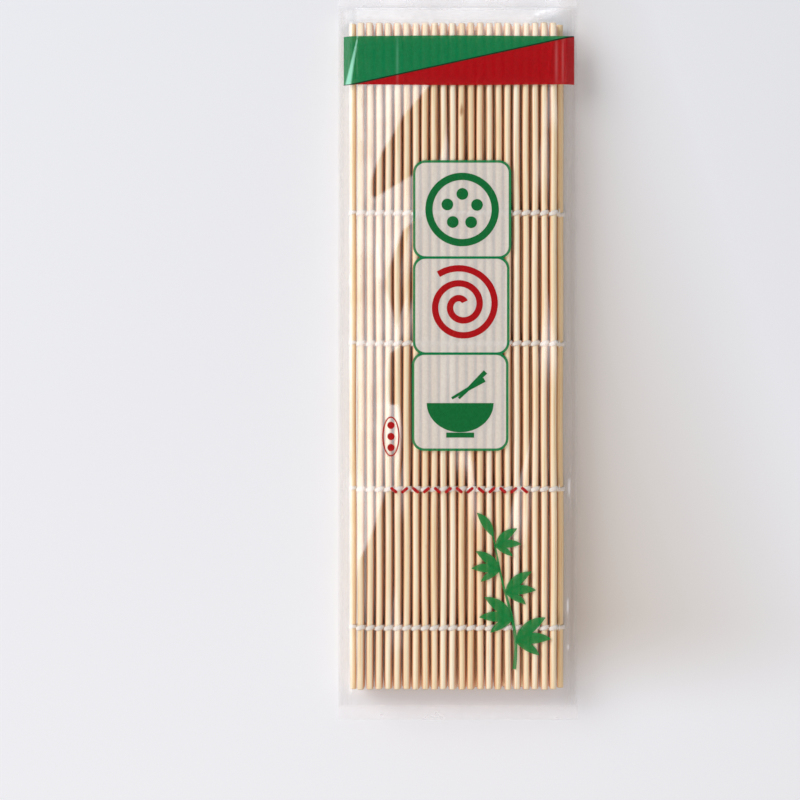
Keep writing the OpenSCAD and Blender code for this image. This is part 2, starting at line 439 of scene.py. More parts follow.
# %% [markdown]
# ## Laying the threads
# The path goes from stick to stick in the order in which the mat opens: bottom layer, first fold, middle
# layer, second fold, top layer. On each stick a thread runs round an arc, from the direction of the stick
# before to the direction of the stick after, and the other thread takes the rest of the circle. So the edge
# stick of a fold is ringed all round, and the thread still meets it when the next stick swings about it.

# %% Path of the threads
ARC_STEPS, THREAD_FACETS = 12, 10
THREAD_T, THREAD_W = 0.5 * MM, 1.75 * MM
NECK = 0.5
CROSSING = 0.42 * MM
PLY_LENGTH, PLY_DEPTH = 1.3 * MM, 0.13
thread_r = STICK_R + THREAD_T / 2 + 0.01 * MM

layers = {
    "bottom_layer": [f"bottom_sticks_{n}" for n in range(1, 12)],
    "fold_1_side": ["fold_1_side_stick"],
    "fold_1_edge": ["fold_1_edge_stick"],
    "middle_layer": [f"middle_sticks_{n}" for n in range(1, 12)],
    "fold_2_side": ["fold_2_side_stick"],
    "fold_2_edge": ["fold_2_edge_stick"],
}
for n in range(1, STRIPS + 1):
    layers[f"top_strip_{n}"] = [f"top_sticks_{n}"]
run = []
for body, nodes in layers.items():
    places = np.vstack([stick_centres(n) for n in nodes])
    places = places[np.argsort(places[:, 0])]
    run.append(places[::-1] if body == "middle_layer" else places)
starts = np.cumsum([0] + [len(r) for r in run])
run = np.vstack(run)
ahead = np.vstack([run[1:] - run[:-1], [[1, 0]]])
behind = np.vstack([[[-1, 0]], run[:-1] - run[1:]])
angle_in = np.arctan2(behind[:, 1], behind[:, 0])
angle_out = np.arctan2(ahead[:, 1], ahead[:, 0])
print("sticks in the run:", len(run))


def thread_points(first, last, thread, y):
    """Grid of one thread over sticks first to last. Middle line: on stick k the angle goes evenly from
    angle_in to angle_out, one way round for even k and the other for odd, at thread_r from the stick's
    centre, while y swings by a cosine from one side of the row to the other. Section: an ellipse with a
    two-lobed ply that turns along. It is flattened to full width on top of a stick, and NECK of that where
    the threads cross between sticks."""
    k = np.arange(first, last)[:, None]
    share = np.linspace(0, 1, ARC_STEPS + 1)[None, :]
    way = np.where((k + thread) % 2 == 0, 1.0, -1.0)
    sweep = np.mod(angle_out[k] - angle_in[k], 2 * np.pi)
    sweep = np.where(way > 0, sweep, sweep - 2 * np.pi)
    angle = angle_in[k] + sweep * share
    side = (1 if thread == 0 else -1) * np.cos(np.pi * (k + share))
    keep = np.ones(angle.shape, bool)
    keep[:-1, -1] = False
    nx, nz = (way * np.cos(angle))[keep], (way * np.sin(angle))[keep]
    mid_x = (run[k, 0] + thread_r * np.cos(angle))[keep]
    mid_z = (run[k, 1] + thread_r * np.sin(angle))[keep]
    mid_y = y + CROSSING * side[keep]
    step = np.sqrt(np.diff(mid_x) ** 2 + np.diff(mid_y) ** 2 + np.diff(mid_z) ** 2)
    length = np.concatenate([[0], np.cumsum(step)])
    turn = np.linspace(0, 2 * np.pi, THREAD_FACETS, endpoint=False)[None, :]
    ply = 1 + PLY_DEPTH * np.cos(2 * turn - 2 * np.pi * length[:, None] / PLY_LENGTH + 2 * y / MM)
    spread = (NECK + (1 - NECK) * np.sin(np.pi * np.broadcast_to(share, angle.shape)))[keep]
    rise = THREAD_T / 2 * ply * np.cos(turn)
    wide = THREAD_W / 2 * spread[:, None] * ply * np.sin(turn)
    return np.stack([
        mid_x[:, None] + nx[:, None] * rise,
        mid_y[:, None] + wide,
        mid_z[:, None] + nz[:, None] * rise,
    ], axis=-1)


# %% [markdown]
# ## Knots
# At the two free edges the threads of a row are tied off. A trefoil is the simplest closed line that looks
# tied, and two short tails leave it along the edge stick.

# %% Knots and tails
KNOT_R, KNOT_THREAD = 0.42 * MM, 0.2 * MM
KNOT_OUT = 0.75 * MM
TAIL_L, TAIL_DROP = 1.9 * MM, 0.7 * MM


def tube(path, radius, facets=8, closed=False):
    """Grid of a round tube along a path: each ring lies across the path's direction, on two axes made from
    it."""
    ahead = np.roll(path, -1, 0) - np.roll(path, 1, 0)
    if not closed:
        ahead[0], ahead[-1] = path[1] - path[0], path[-1] - path[-2]
    ahead /= np.linalg.norm(ahead, axis=1, keepdims=True)
    across = np.cross(ahead, [0.21, 0.12, 0.97])
    across /= np.linalg.norm(across, axis=1, keepdims=True)
    over = np.cross(across, ahead)
    turn = np.linspace(0, 2 * np.pi, facets, endpoint=False)
    ring = across[:, None] * np.cos(turn)[None, :, None] + over[:, None] * np.sin(turn)[None, :, None]
    return path[:, None] + ring * np.reshape(radius, (-1, 1, 1))


def make_knots(name, body, edge, side):
    """At each row a trefoil, x = sin t + 2 sin 2t and so on, and two tails that curve away along the
    stick."""
    t = np.linspace(0, 2 * np.pi, 49)
    loop = [np.cos(t) - 2 * np.cos(2 * t), np.sin(t) + 2 * np.sin(2 * t), -np.sin(3 * t)]
    loop = np.column_stack(loop) / 3
    share = np.linspace(0, 1, 9)
    grids, tails = [], []
    for r, y in enumerate(row_y):
        centre = np.array([edge[0] + side * (STICK_R + KNOT_OUT), y, edge[1]])
        grids.append(tube(centre + KNOT_R * loop * [1, 1.2, 1], np.full(49, KNOT_THREAD)))
        for way in (-1, 1):
            curl = 0.5 + 0.5 * rng.random()
            path = np.column_stack([
                centre[0] + side * 0.25 * MM * np.sin(3 * share) * curl,
                centre[1] + way * TAIL_L * share * curl,
                centre[2] - TAIL_DROP * share ** 2 * curl,
            ])
            tails.append(tube(path, KNOT_THREAD * (1 - 0.35 * share)))
    knots = surface(f"{name}_knots", np.array(grids), around=True, caps=True)
    ends = surface(f"{name}_tails", np.array(tails), around=True, caps=True)
    for piece in (knots, ends):
        dress(piece, body, "cotton_twine", cotton)


# %% Lay every row of twine
def make_twine(name, body, rows, *nodes):
    """Both threads of the given rows, over the sticks of one body."""
    place = list(layers).index(body)
    span = (starts[place], starts[place + 1])
    grids = [thread_points(*span, thread, row_y[r]) for r in rows for thread in (0, 1)]
    twine = surface(name, np.array(grids), around=True, caps=True)
    return dress(twine, body, "cotton_twine", cotton, *nodes)


for r in range(ROWS):
    make_twine(f"bottom_twine_{r + 1}_cotton", "bottom_layer", [r], f"bottom_twine_{r + 1}")
    make_twine(f"middle_twine_{r + 1}_cotton", "middle_layer", [r], f"middle_twine_{r + 1}")
for n in range(1, STRIPS + 1):
    make_twine(f"top_twine_{n}_cotton", f"top_strip_{n}", range(ROWS), f"top_twine_{n}")
for fold in ("fold_1_side", "fold_1_edge", "fold_2_side", "fold_2_edge"):
    make_twine(f"{fold}_cotton", fold, range(ROWS), f"{fold}_twine")
make_knots("bottom", "bottom_layer", run[0], -1)
make_knots("top", f"top_strip_{STRIPS}", run[-1], 1)

# %% [markdown]
# ## Clear film
# The pouch is polypropylene film, 0.04 mm thick: clear, glossy, and crinkled where it is pulled over the
# mat. A thin sheet does not bend what is seen through it, so its shader is mostly Transparent. It mirrors
# more at a grazing angle. The Fresnel node would block all light from behind a single sheet, so Schlick's
# formula is used, which is the same from both sides: a small share straight on, and a power of the slant on
# top. His power is the fifth; the eighth keeps an empty pouch from turning into one white mirror, which
# crinkled film never is. A white haze that is an attribute of each point gives the milky look of creased
# film: it scatters light back and lets it through. At one folded corner it also carries a painted highlight.
# A second attribute is a painted sheen: a bright bloom of reflection laid on by place, made as a very rough
# gloss that fades at a slant. Film scatters light forwards, so it shades what lies under it only a little: a
# shadow ray keeps seven eighths of its light. Fine ripples, drawn out along the sticks, break up what the
# gloss mirrors.

# %% Material: polypropylene film
STRAIGHT_ON, MIRROR_POWER = 0.006, 8.0
LET_THROUGH = 0.4
RIPPLE_W, RIPPLE_H = 3.5 * MM, 0.35 * MM

film, tree, place, out = new_material("polypropylene_film")
cloud = add(tree, "ShaderNodeTexNoise", {"Vector": place, "Scale": 1 / (16 * MM), "Detail": 3.0})
patchy = add(
    tree, "ShaderNodeMapRange",
    {"Value": cloud.outputs["Fac"], "From Min": 0.3, "From Max": 0.7, "To Min": 0.6, "To Max": 1.4},
)
veil = add(tree, "ShaderNodeAttribute", attribute_name="haze").outputs["Fac"]
haze = add(
    tree, "ShaderNodeMath", {0: veil, 1: patchy.outputs["Result"]}, operation="MULTIPLY", use_clamp=True,
)
clear = add(tree, "ShaderNodeBsdfTransparent", {"Color": linear("#FFFFFF")})
above = add(tree, "ShaderNodeBsdfPrincipled", {"Base Color": linear("#EEEEF0"), "Roughness": 0.6})
below = add(tree, "ShaderNodeBsdfTranslucent", {"Color": linear("#EEEEF0")})
milk = add(tree, "ShaderNodeMixShader", {0: LET_THROUGH, 1: above.outputs[0], 2: below.outputs[0]})
sheet = add(tree, "ShaderNodeMixShader", {0: haze.outputs[0], 1: clear.outputs[0], 2: milk.outputs[0]})
drawn = add(tree, "ShaderNodeMapping", {"Vector": place, "Scale": (1, 0.22, 1)}).outputs["Vector"]
ripple = add(tree, "ShaderNodeTexNoise", {"Vector": drawn, "Scale": 1 / RIPPLE_W, "Detail": 2.0})
rippled = add(
    tree, "ShaderNodeBump", {"Height": ripple.outputs["Fac"], "Strength": 1.0, "Distance": RIPPLE_H},
)
slant = add(tree, "ShaderNodeLayerWeight", {"Blend": 0.5}).outputs["Facing"]
power = add(tree, "ShaderNodeMath", {0: slant, 1: MIRROR_POWER}, operation="POWER").outputs[0]
mirror = add(
    tree, "ShaderNodeMath", {0: power, 1: 1 - STRAIGHT_ON, 2: STRAIGHT_ON}, operation="MULTIPLY_ADD",
).outputs[0]
gloss = add(
    tree, "ShaderNodeBsdfAnisotropic",
    {"Color": linear("#FFFFFF"), "Roughness": 0.2, "Normal": rippled.outputs["Normal"]},
)
# Painted sheen: a very rough white gloss, mixed in by the second attribute.
sheen_gloss = add(tree, "ShaderNodeBsdfAnisotropic", {"Color": linear("#FFFFFF"), "Roughness": 0.6})
painted_sheen = add(tree, "ShaderNodeAttribute", attribute_name="painted_sheen").outputs["Fac"]
facing = add(
    tree, "ShaderNodeMapRange",
    {"Value": slant, "From Min": 0.25, "From Max": 0.8, "To Min": 1.0, "To Max": 0.1},
)
faced = add(
    tree, "ShaderNodeMath", {0: facing.outputs[0], 1: patchy.outputs["Result"]}, operation="MULTIPLY",
)
uneven = add(tree, "ShaderNodeMath", {0: painted_sheen, 1: faced.outputs[0]}, operation="MULTIPLY", use_clamp=True)
used = add(tree, "ShaderNodeMixShader", {0: uneven.outputs[0], 1: sheet.outputs[0], 2: sheen_gloss.outputs[0]})
whole = add(tree, "ShaderNodeMixShader", {0: mirror, 1: used.outputs[0], 2: gloss.outputs[0]})
faint = add(tree, "ShaderNodeBsdfTransparent", {"Color": linear("#F1EFEE")})
shading = add(tree, "ShaderNodeLightPath").outputs["Is Shadow Ray"]
lit = add(tree, "ShaderNodeMixShader", {0: shading, 1: whole.outputs[0], 2: faint.outputs[0]})
tree.links.new(lit.outputs[0], out)

# %% [markdown]
# ## The shape of the pouch
# Seen from its end the film leaves the left crease, climbs the mat's side, runs flat over the top layer and
# slopes down to the right crease, where there is more room. A few corner points give that outline, a
# running mean rounds it, and a place on the film is then told by its distance along the outline and by y.

# %% Outline of the front film
FILM_TOP = MAT_TOP + 0.62 * MM
CREASE_Z = 0.3 * MM
left_x, right_x = film_low.x, film_high.x
shoulder = strip_high.x + 6 * 3 * PITCH + 1.2 * MM
outline = np.array([
    [left_x + 0.1 * MM, CREASE_Z],
    [left_x + 0.7 * MM, 4.6 * MM],
    [left_x + 2.4 * MM, 8.8 * MM],
    [-shoulder - 0.6 * MM, FILM_TOP],
    [shoulder + 2.0 * MM, FILM_TOP],
    [right_x - 1.4 * MM, 9.4 * MM],
    [right_x - 0.5 * MM, 4.6 * MM],
    [right_x - 0.1 * MM, CREASE_Z],
])
FINE, SOFTEN = 2400, 25
knots_s = np.concatenate([[0], np.cumsum(np.linalg.norm(np.diff(outline, axis=0), axis=1))])
even_s = np.linspace(0, knots_s[-1], FINE)
kernel = np.ones(SOFTEN) / SOFTEN


def rounded(values):
    """Running mean that keeps both ends: the line is carried on straight past them first."""
    raw = np.interp(even_s, knots_s, values)
    reach = SOFTEN // 2
    before = 2 * raw[0] - raw[reach:0:-1]
    after = 2 * raw[-1] - raw[-2:-reach - 2:-1]
    return np.convolve(np.concatenate([before, raw, after]), kernel, "valid")


line_x, line_z = rounded(outline[:, 0]), rounded(outline[:, 1])
line_s = np.concatenate([[0], np.cumsum(np.hypot(np.diff(line_x), np.diff(line_z)))])
slope_x, slope_z = np.gradient(line_x, line_s), np.gradient(line_z, line_s)
print(f"film outline {1000 * line_s[-1]:.1f} mm long")

# %% [markdown]
# ## Crinkles
# Pulled film makes long, soft, straight ridges that start at corners and at the ends of the mat. Each ridge
# here is a line segment with a height that falls off like a bell curve to both sides and fades at its ends.

# %% Crinkles and the film as a formula
SEALED_Y = film_low.y
MOUTH_Y = film_high.y
END_SLOPE = 5.6 * MM
CRINKLES = 64
CRINKLE_H, CRINKLE_W = 0.13 * MM, 0.9 * MM

fold_s = rng.uniform(0.02, 0.98, CRINKLES) * line_s[-1]
fold_y = rng.uniform(SEALED_Y, MOUTH_Y, CRINKLES)
fold_dir = np.radians(90 + rng.normal(0, 16, CRINKLES))
fold_len = rng.uniform(15, 80, CRINKLES) * MM
fold_h = CRINKLE_H * rng.uniform(-0.2, 1, CRINKLES)
fold_w = CRINKLE_W * rng.uniform(0.6, 2.0, CRINKLES)


def crinkle(s, y):
    """Sum of ridges: height times a bell curve of the distance across, times a bell curve along the
    segment."""
    total = np.zeros(np.broadcast(s, y).shape)
    for s0, y0, way, length, height, width in zip(fold_s, fold_y, fold_dir, fold_len, fold_h, fold_w):
        along = (s - s0) * math.cos(way) + (y - y0) * math.sin(way)
        across = -(s - s0) * math.sin(way) + (y - y0) * math.cos(way)
        total += height * np.exp(-(across / width) ** 2 - (2 * along / length) ** 4)
    return total


def film_at(s, y, lift=0.0):
    """Point on the front film: the outline at s, moved out by the crinkles and lift, and pressed down to
    the crease's height over the slope at the sealed end and a little at the mouth."""
    out_by = crinkle(s, y) + lift
    x = np.interp(s, line_s, line_x) - np.interp(s, line_s, slope_z) * out_by
    z = np.interp(s, line_s, line_z) + np.interp(s, line_s, slope_x) * out_by
    rise = np.clip((y - SEALED_Y) / END_SLOPE, 0, 1)
    lip = np.clip((y - (MOUTH_Y - 4 * MM)) / (4 * MM), 0, 1)
    press = rise ** 0.8 * (1 - 0.10 * lip ** 2)
    z = CREASE_Z + (z - CREASE_Z) * press
    return np.stack(np.broadcast_arrays(x, y, z), axis=-1)


def s_of(x):
    """Distance along the outline at which it passes x."""
    return np.interp(x, line_x, line_s)


s_grid = np.concatenate([
    np.linspace(0, s_of(-shoulder + 1.5 * MM), 36, endpoint=False),
    np.linspace(s_of(-shoulder + 1.5 * MM), s_of(shoulder - 1.5 * MM), 200, endpoint=False),
    np.linspace(s_of(shoulder - 1.5 * MM), line_s[-1], 46),
])
y_grid = np.linspace(SEALED_Y, MOUTH_Y, 310)
print("crinkles:", CRINKLES, "film grid:", len(y_grid), "by", len(s_grid))

# %% [markdown]
# ## Milky places and painted sheen
# A painted sheen, a bloom of reflection, lies left of a jagged line, in a tongue under one row of twine, and
# in small wedges over the rest. At the mouth the film is milky from its own creases, and one folded corner
# shows a white wedge of painted highlight. All this could be painted as a picture. As sums of smooth steps
# and bell curves of x and y it stays sharp at any size, and each place is moved by one number.

# %% Milk and painted sheen as formulas
def step(value, low, high):
    """Smooth step: 0 below low, 1 above high, and 3t^2 - 2t^3 between."""
    t = np.clip((value - low) / (high - low), 0, 1)
    return t * t * (3 - 2 * t)


HAZE_EDGE = MM * np.array([
    (-120, -37), (-73, -35), (-59, -29), (-49, -25), (-48, -20.5), (-18, -20.5), (-17, -24), (1, -24),
    (3, -21), (26, -25), (45, -20), (51, -13), (56, -13), (57, -30.5), (63, -30), (73, -26.5), (86, -20),
    (97, -9.5),
])
TONGUE_FROM, TONGUE_TO = (-30 * MM, 56.8 * MM), (-13 * MM, 67 * MM)
PATCHES = 16
patch_x = rng.uniform(-30, 36, PATCHES) * MM
patch_y = rng.uniform(-110, 95, PATCHES) * MM
patch_lean = rng.normal(0, 0.12, PATCHES)
patch_l = rng.uniform(5, 16, PATCHES) * MM
patch_w = rng.uniform(0.7, 1.8, PATCHES) * MM
patch_sheen = rng.uniform(0.08, 0.26, PATCHES)
FOLD_FROM, FOLD_TO = (27.5 * MM, 122.2 * MM), (42.8 * MM, 127.9 * MM)
FOLD_H, PULLED_X = 1.1 * MM, -38.3 * MM
GLINTS = MM * np.array([(39.7, -89.8, 2.4), (39.8, -104.6, 0.8), (40.2, -47.0, 3.0)])
MOUTH_HAZE, WEDGE_HIGHLIGHT, LINES_HAZE = 0.40, 0.25, (0.14, 0.08, 0.04)
LEFT_SHEEN, PAST_SHEEN, PULLED_SHEEN, MOUTH_SHEEN, WEDGE_SHEEN, GLINT_SHEEN = 0.30, 0.16, 0.35, 0.27, 0.9, 0.3
STICKS_END = (119 * MM, 120.5 * MM)


def fold_at(x, y):
    """Height above the line of the folded corner, in metres: y less the line's own y at x."""
    return y - FOLD_FROM[1] - (FOLD_TO[1] - FOLD_FROM[1]) / (FOLD_TO[0] - FOLD_FROM[0]) * (x - FOLD_FROM[0])


def mouth_at(x, y):
    """1 at the mouth, past the sticks' ends and above the folded corner's line, and 0 below."""
    low = np.minimum(y - 120.0 * MM - 0.4 * MM * np.sin(x / (6 * MM)), fold_at(x, y) + 1.5 * MM)
    return step(low, -1.5 * MM, 1.5 * MM) * (1 - 0.75 * step(np.abs(x), 35.5 * MM, 38 * MM))


def highlight_wedge_at(x, y):
    """The folded corner's white wedge of painted highlight: sharp along its line and fading above it."""
    off = fold_at(x, y)
    along = step(x, FOLD_FROM[0] - MM, FOLD_FROM[0] + 3 * MM)
    along = along * (1 - step(x, FOLD_TO[0], FOLD_TO[0] + 1.5 * MM))
    return step(off, -0.25 * MM, 0.25 * MM) * np.exp(-np.clip(off, 0, None) / FOLD_H) * along


def haze_at(x, y):
    """Milkiness of the film: most at the mouth, and in fine lines beside the mat. The folded corner's wedge
    adds a painted highlight.
    """
    mouth = MOUTH_HAZE * mouth_at(x, y) + WEDGE_HIGHLIGHT * highlight_wedge_at(x, y)
    beside = step(np.abs(x + 0.2 * MM), 38.6 * MM, 39.6 * MM)
    broad = np.sin(x / (0.42 * MM) + 0.8 * np.sin(y / (23 * MM)))
    lines = LINES_HAZE[0] + LINES_HAZE[1] * broad + LINES_HAZE[2] * np.sin(x / (0.19 * MM))
    return np.clip(mouth + beside * lines, 0, 0.95)


def painted_sheen_at(x, y):
    """Painted sheen of the film, a bloom of reflection: left of a jagged line, with a tongue of it under the
    first row of twine, and in wedges. Past the header band it is even, up to the ends of the sticks, and a
    painted highlight line runs beside the left edge, where the film is pulled tight. Across the sticks it
    swells by a cosine to a painted highlight over each stick's top, where the film rides on them. Small
    painted glints lie beside the mat, and the mouth and the folded corner's wedge get painted sheen too."""
    edge = np.interp(y, HAZE_EDGE[:, 0], HAZE_EDGE[:, 1]) + 0.7 * MM * np.sin(y / (6 * MM))
    left = 1 - step(x, edge - 1.2 * MM, edge + 0.5 * MM)
    tongue = np.interp(x, [TONGUE_FROM[0], TONGUE_TO[0]], [TONGUE_FROM[1], TONGUE_TO[1]])
    under = (1 - step(y, tongue - MM, tongue + 0.5 * MM)) * step(y, 50 * MM, 51 * MM)
    left = LEFT_SHEEN * np.maximum(left, under * (1 - step(x, TONGUE_TO[0] - MM, TONGUE_TO[0] + MM)))
    past = step(y, 105 * MM, 108 * MM)
    left = left * (1 - past) + PAST_SHEEN * past
    # Small wedges of painted sheen.
    for x0, y0, lean, length, width, milk in zip(patch_x, patch_y, patch_lean, patch_l, patch_w, patch_sheen):
        along = (y - y0) / length
        across = (x - x0 - lean * (y - y0)) / (width * np.clip(1.2 - along, 0.3, 2))
        left = left + milk * np.exp(-across ** 4 - along ** 4)
    # Painted highlight over each stick's top, where the film rides on it.
    ridden = np.abs(x) < EDGE_X + PITCH / 2
    total = left * np.where(ridden, 0.82 + 0.18 * np.cos(2 * np.pi * (x - EDGE_X) / PITCH), 0.1)
    # A painted highlight line beside the left edge.
    pulled = PULLED_SHEEN * np.exp(-((x - PULLED_X) / (0.5 * MM)) ** 2)
    total = (total + pulled) * (1 - step(y, *STICKS_END))
    # Painted sheen at the mouth and on the folded corner's wedge.
    total = total + MOUTH_SHEEN * mouth_at(x, y) + WEDGE_SHEEN * highlight_wedge_at(x, y)
    # Painted glints beside the mat.
    for x0, y0, half in GLINTS:
        total = total + GLINT_SHEEN * np.exp(-((x - x0) / (0.35 * MM)) ** 2 - ((y - y0) / half) ** 4)
    return np.clip(total, 0, 0.95)


# %% Lay the front film
across, up = np.interp(s_grid, line_s, line_x)[None, :], y_grid[:, None]
front = surface(
    "pouch_front_film_clear", film_at(s_grid[None, :], up),
    values={"haze": haze_at(across, up), "painted_sheen": painted_sheen_at(across, up)},
)
dress(front, "pouch", "clear_film", film, "pouch_front_film")
print("front film:", len(front.data.polygons), "faces")

# %% [markdown]
# ## Back film, end seal and flap
# The back film is the sheet that the pack lies on. It stays almost flat. Across the closed end both films
# are pressed together by a ribbed hot bar, which leaves fine crimps. At the mouth the back film runs on as
# a flap with a strip of adhesive, and such a flap never lies quite flat, so it lifts a little towards its
# end.

# %% Back film, seal, flap and adhesive
BACK_Z = 0.03 * MM
BACK_HAZE, SEAL_HAZE, FLAP_HAZE = 0.04, 0.22, 0.12
BACK_SHEEN, FLAP_SHEEN, BACK_WEDGE_HIGHLIGHT = 0.25, 0.15, 0.6
SEAL_Z, CRIMP, CRIMP_H = 0.3 * MM, 1.0 * MM, 0.16 * MM
LIP = 5 * MM
FLAP_LIFT = 2.4 * MM


def sheet_grid(low, high, across, along):
    """Even grid of x and y over a box."""
    return np.meshgrid(np.linspace(low.x, high.x, across), np.linspace(low.y, high.y, along))


lip_y = back_high.y - LIP
steps_y = [np.linspace(back_low.y, lip_y, 156, endpoint=False), np.linspace(lip_y, back_high.y, 14)]
x, y = np.meshgrid(np.linspace(back_low.x, back_high.x, 120), np.concatenate(steps_y))
z = BACK_Z + 0.25 * np.abs(crinkle(x - back_low.x, y))
# On the back film the folded corner's wedge is a painted highlight, and the mouth gets painted sheen.
values = {"haze": BACK_HAZE + BACK_WEDGE_HIGHLIGHT * highlight_wedge_at(x, y), "painted_sheen": BACK_SHEEN * mouth_at(x, y)}
back = surface("pouch_back_film_clear", np.stack([x, y, z], -1), values=values)
print(f"back film up to {z.max() / MM:.3f} mm high")
dress(back, "pouch", "clear_film", film, "pouch_back_film")

seal_low, seal_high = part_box("pouch_end_seal")
x, y = sheet_grid(seal_low, seal_high, 90, 61)
z = SEAL_Z + CRIMP_H * np.cos(2 * np.pi * (y - seal_low.y) / CRIMP) + 0.04 * MM * np.sin(x / (2.3 * MM))
seal = surface("pouch_end_seal_crimped", np.stack([x, y, z], -1), values={"haze": SEAL_HAZE})
dress(seal, "pouch", "clear_film", film, "pouch_end_seal")

flap_low, flap_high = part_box("pouch_flap")


def flap_z(x, y):
    """Height of the flap: a square of the distance from its crease, with a slow wave across."""
    share = np.clip((y - flap_low.y) / (flap_high.y - flap_low.y), 0, 1)
    lift = FLAP_LIFT * share ** 2 * (1 + 0.25 * np.sin(x / (13 * MM)))
    return BACK_Z + lift + 0.3 * np.abs(crinkle(x, y)) * share


FLAP_CORNER = 4 * MM
x, y = sheet_grid(flap_low, flap_high, 60, 40)
near_end = np.clip((y - (flap_high.y - FLAP_CORNER)) / FLAP_CORNER, 0, 1)
shrink = FLAP_CORNER * (1 - np.sqrt(1 - near_end ** 2))
middle_x = (flap_low.x + flap_high.x) / 2
x = middle_x + (x - middle_x) * (1 - shrink / ((flap_high.x - flap_low.x) / 2))
# Painted sheen on the flap.
values = {"haze": FLAP_HAZE, "painted_sheen": FLAP_SHEEN}
flap = surface("pouch_flap_clear", np.stack([x, y, flap_z(x, y)], -1), values=values)
dress(flap, "flap", "clear_film", film, "pouch_flap")

glue, tree, place, out = new_material("pressure_adhesive")
streak = add(tree, "ShaderNodeTexNoise", {"Vector": place, "Scale": 1 / (3 * MM), "Detail": 4.0})
milky = add(
    tree, "ShaderNodeValToRGB", {0: streak.outputs["Fac"]},
    [(0.3, "#DCDCD6"), (0.7, "#F2F2EE")],
).outputs[0]
tacky = add(tree, "ShaderNodeBsdfPrincipled", {"Base Color": milky, "Roughness": 0.25, "Alpha": 0.45})
tree.links.new(tacky.outputs[0], out)
strip_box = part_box("flap_adhesive_strip")
x, y = sheet_grid(*strip_box, 60, 12)
z = flap_z(x, y) + 0.06 * MM
adhesive = surface("flap_adhesive_film", np.stack([x, y, z], -1))
dress(adhesive, "flap", "adhesive", glue, "flap_adhesive_strip")

# %% [markdown]
# ## Printing inks
# The front film is printed in green, red and white gravure ink. Ink on film is glossy and slightly uneven,
# with the faint mottle of a fast press. The white is thin, so the sticks still show through it.

# %% Materials: gravure inks
def ink(name, code, darker, alpha=1.0, highlight_colour="#A6F5DC"):
    """Glossy ink with a fine mottle between two near colours, lightened towards a pale colour where the film
    is creased, which is a painted highlight.
    """
    made, tree, place, out = new_material(name)
    mottle = add(tree, "ShaderNodeTexNoise", {"Vector": place, "Scale": 1 / (0.8 * MM), "Detail": 2.0})
    shade = add(
        tree, "ShaderNodeValToRGB", {0: mottle.outputs["Fac"]},
        [(0.35, darker), (0.65, code)],
    ).outputs[0]
    # Painted highlight towards a pale colour where the film is creased.
    crease = add(tree, "ShaderNodeAttribute", attribute_name="crease").outputs["Fac"]
    highlighted = add(tree, "ShaderNodeMixRGB", {"Fac": crease, "Color1": shade, "Color2": linear(highlight_colour)})
    wet = add(
        tree, "ShaderNodeBsdfPrincipled",
        {"Base Color": highlighted.outputs["Color"], "Roughness": 0.3, "Alpha": alpha, "Specular IOR Level": 0.12},
    )
    tree.links.new(wet.outputs[0], out)
    return made


green_ink = ink("green_gravure_ink", "#00834C", "#007A45", 0.9)
deep_ink = ink("deep_green_gravure_ink", "#006E35", "#00662F", 0.94)
leaf_ink = ink("leaf_gravure_ink", "#00843F", "#027A35", 0.86)
red_ink = ink("red_gravure_ink", "#B00410", "#A4030D", 0.94, "#F0B4B8")
white_ink = ink("white_gravure_ink", "#F3F5F2", "#EBEDEA", 0.64)
line_ink = ink("dark_line_ink", "#10301C", "#0B2515")

# %% [markdown]
# ## Printed shapes
# A printed shape lies on the film, so it is made from the same formula, lifted by a few hundredths of a
# millimetre. Its outline is a function of the angle, and the shape is the grid between an inner and an
# outer outline. That gives a crisp edge at any distance, which a texture would not.

# %% Helpers for printed shapes
INK_LIFT = 0.035 * MM
prints = []


def printed(name, x, y, material, slot, lift=INK_LIFT):
    """A grid of places (x, y) laid on the front film."""
    piece = surface(name, film_at(s_of(x), y, lift))
    prints.append(dress(piece, "pouch", slot, material))
    return piece


def between(centre, inner, outer, steps=96, rings=6, tilt=0.0):
    """Grid between two outlines, each a function of the angle that gives a radius as (x, y) pairs."""
    t = np.linspace(0, -2 * np.pi, steps + 1)[None, :]
    share = np.linspace(0, 1, rings)[:, None]
    (x0, y0), (x1, y1) = inner(t), outer(t)
    x, y = x0 + (x1 - x0) * share, y0 + (y1 - y0) * share
    c, s = math.cos(tilt), math.sin(tilt)
    return centre[0] + c * x - s * y, centre[1] + s * x + c * y


def oval(rx, ry):
    """Ellipse: x = rx cos t, y = ry sin t."""
    return lambda t: (rx * np.cos(t), ry * np.sin(t))


pinhole = oval(0.01 * MM, 0.01 * MM)


def rounded_square(half_x, half_y, corner):
    """Rectangle with round corners. The ray at angle t meets a straight side at r = min(a/|cos t|, b/|sin
    t|), and where that point is past the corner circle's centre C, the circle at r = d.C + sqrt((d.C)^2 -
    |C|^2 + corner^2)."""
    def outline(t):
        c, s = np.abs(np.cos(t)), np.abs(np.sin(t))
        straight = np.minimum(half_x / np.maximum(c, 1e-9), half_y / np.maximum(s, 1e-9))
        cx, cy = half_x - corner, half_y - corner
        dot = c * cx + s * cy
        curved = dot + np.sqrt(np.maximum(dot ** 2 - cx ** 2 - cy ** 2 + corner ** 2, 0))
        r = np.where((straight * c > cx) & (straight * s > cy), curved, straight)
        return r * np.cos(t), r * np.sin(t)
    return outline


def stroke(points, width):
    """Grid of a line drawn with a round-tapered pen: points of the middle line, and its width at each
    point."""
    points = np.asarray(points, float)
    ahead = np.gradient(points, axis=0)
    ahead /= np.linalg.norm(ahead, axis=1, keepdims=True)
    normal = np.column_stack([ahead[:, 1], -ahead[:, 0]])
    share = np.linspace(-0.5, 0.5, 4)[:, None]
    width = np.broadcast_to(width, len(points))[None, :]
    return points[:, 0] + normal[:, 0] * width * share, points[:, 1] + normal[:, 1] * width * share


